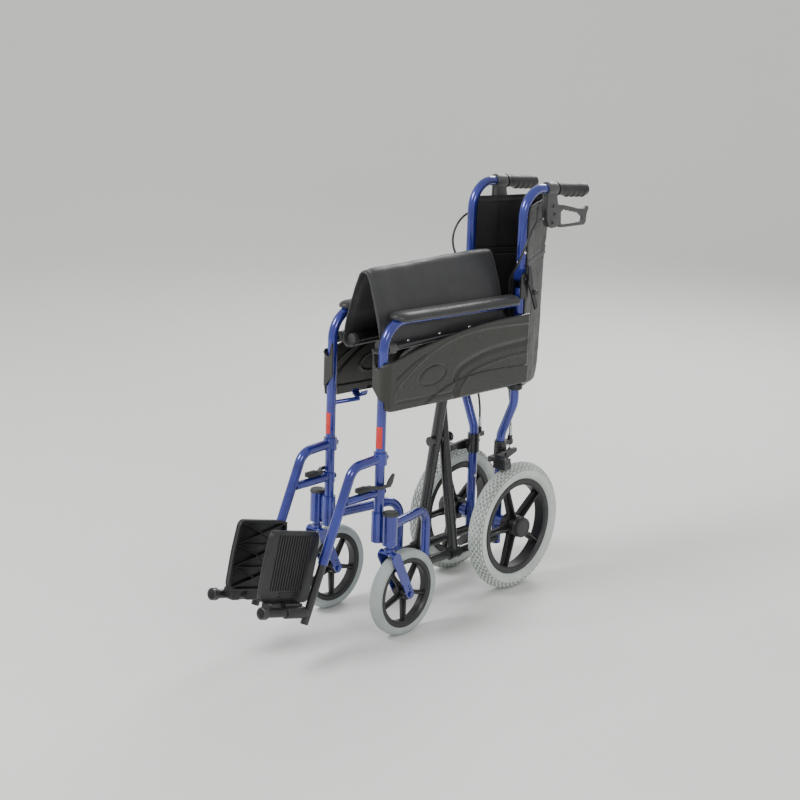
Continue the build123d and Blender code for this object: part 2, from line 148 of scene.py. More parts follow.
def shader(name):
    """A new material, its nodes, and its surface node."""
    made = bpy.data.materials.new(name)
    made.use_nodes = True
    return made, made.node_tree, made.node_tree.nodes["Principled BSDF"]


def texture(tree, kind, scale, **settings):
    """A texture node in the row's own coordinates, in turns to the metre."""
    place = tree.nodes.get("place") or tree.nodes.new("ShaderNodeTexCoord")
    place.name = "place"
    node = tree.nodes.new(f"ShaderNodeTex{kind}")
    tree.links.new(place.outputs["Object"], node.inputs["Vector"])
    node.inputs["Scale"].default_value = scale
    for key, value in settings.items():
        if hasattr(node, key):
            setattr(node, key, value)
        else:
            node.inputs[key].default_value = value
    return node


def ranged(tree, source, low, high, start=0.3, end=0.7):
    """Maps a texture's middle values to a range."""
    node = tree.nodes.new("ShaderNodeMapRange")
    tree.links.new(source, node.inputs["Value"])
    node.inputs["From Min"].default_value = start
    node.inputs["From Max"].default_value = end
    node.inputs["To Min"].default_value = low
    node.inputs["To Max"].default_value = high
    return node.outputs["Result"]


def two_tone(tree, source, dark, light):
    """Turns a texture's middle values into a blend of two colours."""
    ramp = tree.nodes.new("ShaderNodeValToRGB")
    tree.links.new(source, ramp.inputs["Fac"])
    ramp.color_ramp.elements[0].position = 0.3
    ramp.color_ramp.elements[1].position = 0.7
    ramp.color_ramp.elements[0].color = (*dark, 1)
    ramp.color_ramp.elements[1].color = (*light, 1)
    return ramp.outputs["Color"]


def bumped(tree, body, source, distance, strength=1.0):
    """Adds a bump on top of any bump the shader already has."""
    bump = tree.nodes.new("ShaderNodeBump")
    bump.inputs["Distance"].default_value = distance
    bump.inputs["Strength"].default_value = strength
    tree.links.new(source, bump.inputs["Height"])
    if body.inputs["Normal"].is_linked:
        tree.links.new(body.inputs["Normal"].links[0].from_socket, bump.inputs["Normal"])
    tree.links.new(bump.outputs["Normal"], body.inputs["Normal"])


def finish(name, dark, light, rough, patch=9.0, metallic=0.0, coat=0.0, sheen=0.0, grain=0.0,
           grain_scale=900.0):
    """A surface with mottled colour, uneven gloss and, if asked, a fine moulded grain."""
    made, tree, body = shader(name)
    mottle = texture(tree, "Noise", patch, Detail=6.0, Roughness=0.62)
    tree.links.new(two_tone(tree, mottle.outputs["Fac"], dark, light), body.inputs["Base Color"])
    smear = texture(tree, "Noise", patch * 3.1, Detail=4.0, Distortion=0.6)
    tree.links.new(ranged(tree, smear.outputs["Fac"], rough[0], rough[1]), body.inputs["Roughness"])
    body.inputs["Metallic"].default_value = metallic
    body.inputs["Coat Weight"].default_value = coat
    body.inputs["Coat Roughness"].default_value = 0.06
    body.inputs["Sheen Weight"].default_value = sheen
    body.inputs["Sheen Roughness"].default_value = 0.5
    if grain:
        fine = texture(tree, "Noise", grain_scale, Detail=2.0)
        bumped(tree, body, fine.outputs["Fac"], grain * MM)
    return made, tree, body


def make_paint():
    """Metallic blue under a clear coat, with fine flakes."""
    made, tree, body = finish("blue_paint", (0.012, 0.016, 0.17), (0.03, 0.045, 0.33), (0.2, 0.3),
                              patch=14, metallic=0.5, coat=1.0)
    flake = texture(tree, "Voronoi", 2600)
    bumped(tree, body, flake.outputs["Distance"], 0.02 * MM, 0.35)
    return made


def make_vinyl():
    """Coated seat cloth: leather-like pebbles with soft creases."""
    made, tree, body = finish("seat_vinyl", (0.020, 0.020, 0.022), (0.034, 0.034, 0.037), (0.34, 0.46),
                              patch=7, sheen=0.15)
    pebble = texture(tree, "Voronoi", 950, feature="SMOOTH_F1")
    bumped(tree, body, pebble.outputs["Distance"], 0.25 * MM, 0.5)
    crease = texture(tree, "Noise", 38, Detail=5.0, Distortion=1.4)
    bumped(tree, body, crease.outputs["Fac"], 1.1 * MM, 0.35)
    return made


def make_weave():
    """Black back cloth: a woven nylon of crossed threads."""
    made, tree, body = finish("back_fabric", (0.006, 0.006, 0.007), (0.014, 0.014, 0.015), (0.5, 0.66),
                              patch=11, sheen=0.08)
    for direction in ("Z", "DIAGONAL"):
        thread = texture(tree, "Wave", 420, bands_direction=direction, Distortion=0.6)
        bumped(tree, body, thread.outputs["Fac"], 0.12 * MM, 0.5)
    ruck = texture(tree, "Noise", 26, Detail=5.0, Distortion=1.0)
    bumped(tree, body, ruck.outputs["Fac"], 1.6 * MM, 0.4)
    return made


def make_tyre(name, dark, light):
    """Puncture-proof rubber, a little dusty."""
    made, tree, body = finish(name, dark, light, (0.55, 0.75), patch=16, grain=0.05)
    dust = texture(tree, "Noise", 190, Detail=8.0, Roughness=0.7)
    bumped(tree, body, dust.outputs["Fac"], 0.15 * MM, 0.5)
    return made


def make_grip_rubber():
    """Matt rubber with moulded dots."""
    made, tree, body = finish("grip_rubber", (0.012, 0.012, 0.013), (0.026, 0.026, 0.028), (0.4, 0.55))
    dots = texture(tree, "Voronoi", 330)
    bumped(tree, body, dots.outputs["Distance"], 0.5 * MM, 0.6)
    return made


paint = make_paint()
vinyl = make_vinyl()
weave = make_weave()
tyre_rubber = make_tyre("grey_rubber", (0.46, 0.50, 0.48), (0.62, 0.67, 0.64))
# A darker copy of the grey rubber: painted shade for the rear tread's grooves.
groove_shade_rubber = make_tyre("rubber_painted_groove_shade", (0.20, 0.215, 0.205), (0.33, 0.35, 0.335))
castor_rubber = make_tyre("castor_rubber", (0.30, 0.34, 0.34), (0.42, 0.46, 0.46))
grip_rubber = make_grip_rubber()
satin_black = finish("black_paint", (0.008, 0.008, 0.009), (0.02, 0.02, 0.022), (0.22, 0.36),
                     metallic=0.1, coat=0.35)[0]
wheel_plastic = finish("wheel_plastic", (0.008, 0.008, 0.009), (0.02, 0.02, 0.021), (0.32, 0.46),
                       grain=0.05)[0]
cap_plastic = finish("cap_plastic", (0.022, 0.022, 0.023), (0.04, 0.04, 0.042), (0.4, 0.55),
                     grain=0.06)[0]
panel_plastic = finish("panel_plastic", (0.019, 0.018, 0.016), (0.028, 0.027, 0.024), (0.24, 0.34),
                       patch=5, grain=0.07, grain_scale=1300)[0]
housing_plastic = finish("housing_plastic", (0.05, 0.05, 0.052), (0.08, 0.08, 0.083), (0.36, 0.48),
                         patch=24, grain=0.06)[0]
pad_skin = finish("pad_skin", (0.015, 0.015, 0.016), (0.026, 0.026, 0.028), (0.34, 0.46), patch=8,
                  sheen=0.05, grain=0.09, grain_scale=700)[0]
sheath = finish("cable_sheath", (0.01, 0.01, 0.011), (0.022, 0.022, 0.024), (0.35, 0.5), patch=60)[0]
steel = finish("bright_steel", (0.55, 0.56, 0.58), (0.75, 0.76, 0.78), (0.16, 0.3), patch=120,
               metallic=1.0)[0]
red_label = finish("red_label", (0.5, 0.02, 0.02), (0.62, 0.04, 0.03), (0.4, 0.5), patch=60)[0]
floor_paint = finish("floor_paint", (0.78, 0.79, 0.77), (0.80, 0.81, 0.79), (0.6, 0.7), patch=1)[0]

node_finish = {
    "front_arm_tube": paint, "rear_cane": paint, "front_socket": paint, "upper_cane": paint,
    "castor_fork": paint, "hanger": paint, "castor_cap": cap_plastic, "lower_rail": satin_black,
    "back_hinge": satin_black, "back_lever": satin_black, "brake_bracket": satin_black,
    "brake_arm": satin_black, "foot_tube": satin_black, "seat_rail": satin_black,
    "brace_p": satin_black, "brace_q": satin_black, "hanger_latch": cap_plastic,
}


def paint_cad():
    """Gives every CAD node its finish, whether it stays in sight or is replaced."""
    for name, node in nodes.items():
        base = name.removesuffix("_left").removesuffix("_right")
        node.data.materials.clear()
        node.data.materials.append(node_finish.get(base, wheel_plastic))


# ---------------------------------------------------------------- shape tools


class Piece:
    """Collects the faces of one object's shapes, in millimetres."""

    def __init__(self):
        self.points = []
        self.faces = []
        self.slots = []

    def add(self, points, faces, slot=0):
        base = len(self.points)
        self.points += [Vector(p) for p in points]
        self.faces += [[base + i for i in face] for face in faces]
        self.slots += [slot] * len(faces)
        return self

    def make(self, name, materials, mirror=1, crease=38):
        """Makes the object. Edges that turn by more than crease degrees stay sharp."""
        mesh = bpy.data.meshes.new(name)
        placed = [at(p.x * mirror, p.y, p.z) for p in self.points]
        mesh.from_pydata([tuple(p) for p in placed], [], self.faces)
        for made in materials:
            mesh.materials.append(made)
        mesh.polygons.foreach_set("material_index", self.slots)
        work = bmesh.new()
        work.from_mesh(mesh)
        bmesh.ops.remove_doubles(work, verts=work.verts, dist=0.01 * MM)
        bmesh.ops.recalc_face_normals(work, faces=work.faces)
        for face in work.faces:
            face.smooth = True
        for edge in work.edges:
            if len(edge.link_faces) == 2:
                edge.smooth = edge.calc_face_angle(0) < radians(crease)
        work.to_mesh(mesh)
        work.free()
        made = bpy.data.objects.new(name, mesh)
        bpy.context.scene.collection.objects.link(made)
        return made


def loft(rings, wrap=False, closed=True, caps=True):
    """Skins rings of points. wrap joins the last ring to the first."""
    across = len(rings[0])
    faces = []
    for i in range(len(rings) if wrap else len(rings) - 1):
        here, after = i * across, (i + 1) % len(rings) * across
        for j in range(across if closed else across - 1):
            k = (j + 1) % across
            faces.append((here + j, here + k, after + k, after + j))
    if caps and not wrap:
        faces.append(tuple(range(across)))
        faces.append(tuple(range((len(rings) - 1) * across, len(rings) * across)))
    return [p for ring in rings for p in ring], faces


def turned(profile, start, along, steps=40, loop=False):
    """A turned shape. Its profile is (distance along, radius); loop closes the profile itself."""
    along = Vector(along).normalized()
    across = along.orthogonal().normalized()
    up = along.cross(across)
    rings = []
    for distance, radius in profile:
        middle_point = Vector(start) + along * distance
        rings.append([middle_point + (across * cos(a) + up * sin(a)) * radius
                      for a in (2 * pi * k / steps for k in range(steps))])
    return loft(rings, wrap=loop)


def rounded(points, radius, steps=5):
    """A closed outline with its corners rounded."""
    outline = []
    for i, corner in enumerate(points):
        corner = Vector(corner)
        back = Vector(points[i - 1]) - corner
        on = Vector(points[(i + 1) % len(points)]) - corner
        reach = min(radius, 0.45 * back.length, 0.45 * on.length)
        first, last = corner + back.normalized() * reach, corner + on.normalized() * reach
        for k in range(steps + 1):
            t = k / steps
            outline.append(first * (1 - t) ** 2 + corner * 2 * t * (1 - t) + last * t * t)
    return outline


def smooth(points, steps=8):
    """A smooth open curve through points."""
    points = [Vector(p) for p in points]
    ends = [points[0] * 2 - points[1], *points, points[-1] * 2 - points[-2]]
    curve = []
    for a, b, c, d in zip(ends, ends[1:], ends[2:], ends[3:]):
        for k in range(steps):
            t = k / steps
            curve.append(b + (c - a) * (t / 2) + (a * 2 - b * 5 + c * 4 - d) * (t * t / 2)
                         + (b * 3 - a - c * 3 + d) * (t ** 3 / 2))
    return [*curve, points[-1]]


def plate(outlines, thickness, bevel, origin, u_dir, v_dir):
    """A flat piece with eased edges. The first outline is its edge, and the others are holes."""
    curve = bpy.data.curves.new("outline", "CURVE")
    curve.dimensions = "2D"
    curve.fill_mode = "BOTH"
    curve.extrude = thickness / 2 - bevel
    curve.bevel_depth = bevel
    curve.bevel_resolution = 2
    curve.offset = -bevel
    for number, outline in enumerate(outlines):
        turning = sum(a[0] * b[1] - b[0] * a[1] for a, b in zip(outline, [*outline[1:], outline[0]]))
        if (turning > 0) == (number > 0):
            outline = outline[::-1]
        spline = curve.splines.new("POLY")
        spline.points.add(len(outline) - 1)
        for point, (u, v) in zip(spline.points, outline):
            point.co = (u, v, 0, 1)
        spline.use_cyclic_u = True
    holder = bpy.data.objects.new("outline", curve)
    mesh = bpy.data.meshes.new_from_object(holder)
    u_dir, v_dir = Vector(u_dir).normalized(), Vector(v_dir).normalized()
    w_dir = u_dir.cross(v_dir)
    points = [Vector(origin) + u_dir * v.co.x + v_dir * v.co.y + w_dir * v.co.z
              for v in mesh.vertices]
    faces = [tuple(face.vertices) for face in mesh.polygons]
    bpy.data.objects.remove(holder)
    bpy.data.curves.remove(curve)
    bpy.data.meshes.remove(mesh)
    return points, faces


def side_plate(outlines, thickness, bevel, x):
    """A plate that stands fore and aft, drawn by y and z."""
    return plate(outlines, thickness, bevel, (x, 0, 0), (0, 1, 0), (0, 0, 1))


def applied(piece):
    """The piece with its modifiers made part of its mesh."""
    made = bpy.data.meshes.new_from_object(piece.evaluated_get(bpy.context.evaluated_depsgraph_get()))
    piece.modifiers.clear()
    piece.data = made
    return piece


def settle(piece, body, slot, *replaced):
    """Fixes a piece to its body and says which CAD nodes it stands in for."""
    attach(piece, body)
    if replaced:
        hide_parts(*replaced)
    return piece


def screw(place, along, radius, rise):
    """A domed screw head with a hexagonal recess."""
    profile = [(-0.5, radius), (rise * 0.45, radius), (rise * 0.85, radius * 0.8),
               (rise, radius * 0.5), (rise * 0.4, radius * 0.46)]
    return turned(profile, place, along, steps=24)


def rumple(place, scale, seed):
    """Soft folds, from -1 to 1."""
    return noise.noise(Vector(place) / scale + Vector((seed, seed * 2.3, -seed)))


# ---------------------------------------------------------------- wheels


def tread_tyre(name, mirror):
    """Rear tyre with rows of knobs over a round section. The grooves between the knobs are a darker
    grey, which is painted shade.
    """
    section, seat, rows, per_row, rise = 22.0, 117.6, 58, 6, 2.3
    limit = acos((seat - rear_r + section) / section)
    steps = 64
    made = Piece()
    rings, dark = [], []
    for k in range(rows * per_row):
        turn = 2 * pi * k / (rows * per_row)
        ring = []
        for j in range(steps + 1):
            lean = -limit + 2 * limit * j / steps
            band = lean / radians(15)
            column = round(band)
            shift = 0.5 if column % 2 else 0.0
            raised = abs(band - column) < 0.36 and (k / per_row + shift) % 1 < 0.6
            groove = 0 if abs(column) <= 4 and raised else rise
            fade = min(1, max(0, (radians(74) - abs(lean)) / radians(8)))
            rib = 0.6 * sum(exp(-((abs(lean) - radians(a)) / 0.04) ** 2) for a in (80, 106, 112))
            reach = section - groove * fade - 0.4 * (1 - fade) + rib
            radius = rear_r - section + reach * cos(lean)
            ring.append(Vector((rear_x + reach * sin(lean), cane_run + radius * cos(turn),
                                rear_r + radius * sin(turn))))
            # Faces down in the grooves take the darker rubber as painted shade.
            dark.append(groove > 0 and fade > 0.2 and j < steps)
        rings.append(ring)
    made.add(*loft(rings, wrap=True))
    made.slots = [int(in_groove_shade) for in_groove_shade in dark]
    return made.make(name, [tyre_rubber, groove_shade_rubber], mirror, 30)


def castor_tyre(name, mirror):
    """Castor tyre: a flat-sided band with a rounded tread and a line moulded round each side."""
    profile = [(-9, 79), (-12.5, 82), (-14.6, 87), (-14.9, 90), (-14.2, 91), (-14.6, 92.2), (-13, 96.5),
               (-9, 99.2), (-4, 100), (4, 100), (9, 99.2), (13, 96.5), (14.6, 92.2), (14.2, 91),
               (14.9, 90), (14.6, 87), (12.5, 82), (9, 79)]
    made = Piece().add(*turned(profile, (castor_x, castor_y, castor_r), (1, 0, 0), 96, loop=True))
    return made.make(name, [castor_rubber], mirror)


def spoked(centre, rim, lip, half, hub, hub_half, first, root, tip):
    """A moulded wheel: lipped rim, hub, and five T-section spokes from the angle first on."""
    made = Piece()
    spokes = 5
    inner = rim - 16 * rim / 118
    ring = [(-half, lip), (-half, inner + 4), (-half + 4, inner), (half - 4, inner), (half, inner + 4),
            (half, lip), (half - 2.5, lip + 1), (half - 5, rim), (5 - half, rim), (2.5 - half, lip + 1)]
    made.add(*turned(ring, centre, (1, 0, 0), 96, loop=True))
    barrel = [(-hub_half, hub * 0.7), (-hub_half, hub - 2), (2 - hub_half, hub), (hub_half - 2, hub),
              (hub_half, hub - 2), (hub_half, hub * 0.7)]
    made.add(*turned(barrel, centre, (1, 0, 0), 48))
    for k in range(spokes):
        turn = radians(first) + 2 * pi * k / spokes
        out = Vector((0, cos(turn), sin(turn)))
        side = Vector((0, -sin(turn), cos(turn)))
        web = [(hub - 3, -root), (hub + 8, -root * 0.72), ((hub + inner) / 2, -tip), (inner - 8, -tip),
               (inner + 3, -tip * 1.5), (inner + 3, tip * 1.5), (inner - 8, tip),
               ((hub + inner) / 2, tip), (hub + 8, root * 0.72), (hub - 3, root)]
        made.add(*plate([web], 6, 1.2, centre, out, side))
        rib = [(hub - 3, half - 3), (inner + 2, half - 5), (inner + 2, 5 - half), (hub - 3, 3 - half)]
        made.add(*plate([rib], 5, 1.2, centre, out, (1, 0, 0)))
    return made


def rear_wheel(name, mirror):
    """The rear wheel with its twelve-sided hub cap."""
    centre = Vector((rear_x, cane_run, rear_r))
    made = spoked(centre, 118, 117, 17, 26, 21, 38, 17, 8)
    cap = [(20.5, 23), (21.2, 25), (30, 25), (33.5, 23.4), (35, 21), (35.2, 18), (34.2, 17.4),
           (34.2, 0.6)]
    made.add(*turned(cap, centre, (1, 0, 0), 12), slot=1)
    return made.make(name, [wheel_plastic, cap_plastic], mirror)


def castor_wheel(name, mirror):
    """The castor's wheel, a smaller one of the same shape."""
    centre = Vector((castor_x, castor_y, castor_r))
    return spoked(centre, 79, 81, 12.5, 15, 18, 56, 10, 5).make(name, [wheel_plastic], mirror)


def wheels():
    for side, mirror in SIDES:
        tyre = tread_tyre(f"rear_tyre_tread_{side}", mirror)
        settle(tyre, f"rear_wheel_{side}", "grey_rubber", f"rear_tyre_{side}")
        wheel = rear_wheel(f"rear_wheel_spokes_{side}", mirror)
        settle(wheel, f"rear_wheel_{side}", "black_plastic", f"rear_wheel_{side}")
        tyre = castor_tyre(f"castor_tyre_band_{side}", mirror)
        settle(tyre, f"castor_wheel_{side}", "castor_rubber", f"castor_tyre_{side}")
        wheel = castor_wheel(f"castor_wheel_spokes_{side}", mirror)
        settle(wheel, f"castor_wheel_{side}", "black_plastic", f"castor_wheel_{side}")


# ---------------------------------------------------------------- side panels

panel_top = smooth([(-15, 636), (14, 636), (102, 653), (240, 671), (359, 678), (489, 676)])
panel_foot = smooth([(-15, 548), (-9, 534), (5, 524), (24, 521)], 4) + smooth(
    [(60, 520), (214, 514), (350, 510), (492, 506)], 4)
slash = smooth([(23, 594), (70, 618), (119, 637)])
upper_wave = smooth([(21, 552), (40, 578), (116, 623), (204, 652), (321, 662), (489, 652)])
middle_wave = smooth([(218, 505), (226, 526), (232, 572), (265, 592), (350, 608), (489, 611)])
lower_wave = smooth([(238, 500), (238, 529), (258, 556), (303, 575), (400, 584), (489, 583)])
foot_groove = smooth([(32, 541), (125, 536), (222, 533)])
panel_waves = (upper_wave, middle_wave, lower_wave, slash, foot_groove)
panel_front, panel_rear = -15, 490
bar_x, bar_z, bar_r = 75, 661, 6.7
badge_y, badge_z, badge_long, badge_high = 149.0, 583.0, 44.0, 21.0


def height_on(curve, y):
    """The height of a curve above a place along it."""
    for a, b in zip(curve, curve[1:]):
        if a.x <= y <= b.x:
            return a.y + (b.y - a.y) * (y - a.x) / max(b.x - a.x, 1e-6)
    return curve[0].y if y < curve[0].x else curve[-1].y


def stretch(curve, y, reach=16):
    """The parts of a curve that come near to a place along it."""
    return [(a, b) for a, b in zip(curve, curve[1:]) if a.x - reach < y < b.x + reach]


def offset_from(parts, place):
    """Distance to the nearest part of a curve, positive above or to the front of it."""
    best, sign = 99.0, 1
    for a, b in parts:
        run = b - a
        t = min(1, max(0, (place - a).dot(run) / run.length_squared))
        gap = place - a - run * t
        if gap.length < best:
            best = gap.length
            sign = 1 if run.x * gap.y - run.y * gap.x > 0 else -1
    return best * sign


def eased(value, width):
    """A soft step from 0 to 1 over a width."""
    t = min(1, max(0, value / width + 0.5))
    return t * t * (3 - 2 * t)


def relief(y, z, parts):
    """How far the panel's moulded waves and its blank badge stand out."""
    place = Vector((y, z))
    upper, gap, lower, cut, foot = [offset_from(part, place) for part in parts]
    rise = 3.2 * eased(upper, 5) + 0.7 * exp(-((upper - 3) / 2) ** 2)
    if y > 205:
        rise -= 3.2 * exp(-(gap / 6) ** 2)
        rise += 2.6 * eased(-lower, 2.2) + 0.8 * exp(-((lower + 2.2) / 1.6) ** 2)
    rise -= 2.8 * exp(-(cut / 2.1) ** 2)
    rise -= 1.6 * exp(-(foot / 2.6) ** 2)
    span = hypot((y - badge_y) / badge_long, (z - badge_z - 0.08 * (y - badge_y)) / badge_high)
    rise -= 2.4 * exp(-((span - 1) / 0.07) ** 2)
    rise += 0.8 * eased(0.94 - span, 0.2)
    return rise


def flange_top(x):
    """The front flange's top edge dips in a U round the tube."""
    return height_on(smooth([(60, 655), (64, 652), (69, 628), (77, 622), (85, 628), (93, 636)]), x)


def side_panel(name, mirror):
    """A thin moulding: flat with waves, turned inwards round the front tube."""
    outer, corner, flange, tall = 91.0, 9.0, 21.0, 84
    columns = []
    long_steps = 230
    for k in range(long_steps + 1):
        y = panel_rear - (panel_rear - panel_front - corner) * k / long_steps
        columns.append((outer, y, Vector((1, 0, 0)), height_on(panel_foot, y), height_on(panel_top, y)))
    for k in range(1, 7):
        turn = pi / 2 * k / 6
        x = outer - corner + corner * cos(turn)
        y = corner + panel_front - corner * sin(turn)
        columns.append((x, y, Vector((cos(turn), -sin(turn), 0)), 548 + 4 * k / 6, flange_top(x)))
    for k in range(1, 13):
        x = outer - corner - flange * k / 12
        columns.append((x, panel_front, Vector((0, -1, 0)), 552 + 24 * k / 12, flange_top(x)))
    skins = {1: [], -1: []}
    for x, y, out, foot, top in columns:
        parts = [stretch(curve, y) for curve in panel_waves]
        for face, skin in skins.items():
            ring = []
            for j in range(tall + 1):
                z = foot + (top - foot) * j / tall
                near = min(z - foot, top - z, panel_rear - y if out.x == 1 else 99)
                lip = 1.5 * (1 - min(1, near / 2)) ** 2
                rise = relief(y, z, parts) * min(1, max(0, (y + 6) / 12)) * min(1, near / 6)
                rise += 1.8 * exp(-((top - z - 2.5) / 2.2) ** 2)
                ring.append(Vector((x, y, z)) + out * (rise + face * (1.7 - lip)))
            skin.append(ring)
    rings = [front + back[::-1] for front, back in zip(skins[1], skins[-1])]
    return Piece().add(*loft(rings)).make(name, [panel_plastic], mirror, 50)


def panel_bar(name, mirror):
    """The bar that the panel hangs from, its grey plug, and the panel's collar on the cane."""
    made = Piece()
    bar = [(tube_r + 0.2, bar_r), (cane_run - tube_r - 0.2, bar_r)]
    made.add(*turned(bar, (bar_x, 0, bar_z), (0, 1, 0), 32), slot=1)
    plug = [(10.4, 6.8), (10.4, 11.4), (11.2, 12), (35, 12), (36.4, 11), (36.4, 6.8)]
    made.add(*turned(plug, (bar_x, 0, bar_z), (0, 1, 0), 40, loop=True), slot=2)
    collar = [(492.4, 11.1), (492.4, 15.5), (494, 18), (502.5, 18.6), (505.4, 17.4), (505.4, 11.1)]
    made.add(*turned(collar, (frame_half, cane_run, 0), (0, 0, 1), 40, loop=True))
    return made.make(name, [wheel_plastic, satin_black, housing_plastic], mirror)


def side_panels():
    for side, mirror in SIDES:
        settle(side_panel(f"side_panel_moulding_{side}", mirror), f"{side}_side", "panel_plastic",
               f"side_panel_{side}")
        settle(panel_bar(f"panel_bar_{side}", mirror), f"{side}_side", "panel_plastic")


# ---------------------------------------------------------------- armrest pads


def arm_pad(name, mirror):
    """A moulded foam pad on top of the arm tube: domed, with a bead along its parting line."""
    front, rear = 27.0, 451.0
    half_ring = [(0, 19.8), (8, 19.4), (15, 18), (20.5, 14.8), (23.8, 10.4), (24.7, 7.2), (25.6, 6.2),
                 (25.6, 4.9), (24.5, 3.9), (23.2, 0.6), (20.5, -1.6), (12, -2), (0, -2)]
    ring = [*half_ring, *[(-u, v) for u, v in half_ring[-2:0:-1]]]
    waist, steps = 9, 64
    rings = []
    for k in range(steps + 1):
        y = front + (rear - front) * (1 - cos(pi * k / steps)) / 2
        nose = min(1, (y - front) / 34)
        tail = min(1, (rear - y) / 16)
        width = sqrt(max(0.02, 1 - (1 - nose) ** 2.4)) * sqrt(max(0.06, 1 - (1 - tail) ** 2.6))
        height = sqrt(max(0.05, 1 - (1 - nose) ** 2.2)) * sqrt(max(0.1, 1 - (1 - tail) ** 2.4))
        rings.append([Vector((frame_half + u * width, y, arm_height(y) + waist + (v - waist) * height))
                      for u, v in ring])
    made = Piece().add(*loft(rings)).make(name, [pad_skin], mirror, 60)
    made.modifiers.new("Subdivision", "SUBSURF").levels = 1
    return applied(made)


def arm_pads():
    for side, mirror in SIDES:
        pad = arm_pad(f"arm_pad_foam_{side}", mirror)
        settle(pad, f"{side}_side", "pad_skin", f"arm_pad_{side}")


# ---------------------------------------------------------------- seat and back cloths


def cloth(name, line, stations, lift, made_of, thickness):
    """A sheet that runs along a line at each station. lift raises a point off the line."""
    rings = []
    for station in stations:
        points = line(station)
        ring = []
        for i, point in enumerate(points):
            before, after = points[max(i - 1, 0)], points[min(i + 1, len(points) - 1)]
            run = (after - before).normalized()
            ring.append(point + lift(i / (len(points) - 1), station, point, run))
        rings.append(ring)
    made = Piece().add(*loft(rings, closed=False, caps=False)).make(name, [made_of], 1, 70)
    skin = made.modifiers.new("Solidify", "SOLIDIFY")
    skin.thickness = thickness * MM
    skin.offset = 0
    made.modifiers.new("Subdivision", "SUBSURF").levels = 1
    return applied(made)


def arc(centre, radius, first, last, steps):
    """Points along an arc, from one angle in degrees to another."""
    return [Vector(centre) + Vector((cos(radians(a)), sin(radians(a)))) * radius
            for a in (first + (last - first) * k / steps for k in range(steps + 1))]


def seat_section():
    """The seat cloth from under one rail, over the fold in the middle, to under the other."""
    top, fold_r, wrap_r = Vector((0, 812)), 11.5, 14.2
    rail = Vector((lower_half, seat_z))
    down = rail - top
    lean = degrees(atan2(down.y, down.x) + acos((fold_r - wrap_r) / down.length))
    ridge = arc(top, fold_r, 90, lean, 6)
    wrap = arc(rail, wrap_r, lean, -150, 12)
    straight = [ridge[-1].lerp(wrap[0], k / 26) for k in range(1, 26)]
    half = ridge + straight + wrap
    return [Vector((-p.x, p.y)) for p in half[:0:-1]] + half


def seat_sling():
    """The seat cloth. It bulges outwards, hangs in soft folds, and dips at the ends of its fold."""
    section = seat_section()
    front, rear = 12.0, 438.0
    steps = 62

    def line(y):
        return [Vector((p.x, y, p.y)) for p in section]

    def lift(share, y, point, run):
        normal = Vector((-run.z, 0, run.x))
        free = max(0, min(1, (point.z - seat_z - 6) / 40))
        bulge = 7.5 * sin(pi * min(1, max(0, (point.z - seat_z) / 160))) ** 0.8
        folds = 2.4 * rumple((point.x * 0.5, y, point.z * 0.6), 62, 3) * free
        folds += 1.0 * rumple((point.x, y * 0.4, point.z * 1.4), 30, 7) * free
        end = min(y - front, rear - y)
        hem = 1.5 * exp(-((end - 5) / 4.5) ** 2) - 1.3 * exp(-((end - 13) / 1.8) ** 2)
        dip = 6 * exp(-end / 10) * max(0, point.z - 790) / 35
        return normal * (bulge * min(1, 0.5 + end / 60) + folds + hem) - Vector((0, 0, dip))

    stations = [front + (rear - front) * k / steps for k in range(steps + 1)]
    sling = cloth("seat_sling", line, stations, lift, vinyl, 4.5)
    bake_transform(sling)
    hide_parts("seat_cloth_left", "seat_cloth_right")


fold_depth = smooth([(455, 168), (475, 174), (505, 184), (600, 188), (720, 190), (790, 191),
                     (860, 202), (940, 208)])
cane_bend_z, cane_bend_r = 902.6, 57
back_join, back_lap = 785, 1


def back_section(z):
    """The back cloth from behind one cane, to the fold behind, and on to the other cane."""
    apex = Vector((0, cane_run + height_on(fold_depth, z)))
    above = max(0, z - cane_bend_z)
    cane = Vector((frame_half, cane_run + cane_bend_r - sqrt(cane_bend_r ** 2 - above ** 2)))
    wrap_r = 13.2
    down = apex - cane
    leave = atan2(down.y, down.x) - acos(wrap_r / down.length)
    wrap = [cane + Vector((cos(a), sin(a))) * wrap_r
            for a in (leave + radians(120) * (1 - k / 12) for k in range(13))]
    turn_in = apex.lerp(wrap[-1], 0.11)
    mirror_in = Vector((-turn_in.x, turn_in.y))
    ridge = [turn_in * (1 - t) ** 2 + apex * 2 * t * (1 - t) + mirror_in * t * t
             for t in (k / 12 for k in range(13))]
    straight = [wrap[-1].lerp(turn_in, k / 26) for k in range(1, 26)]
    half = wrap + straight
    return half + ridge + [Vector((-p.x, p.y)) for p in half[::-1]]


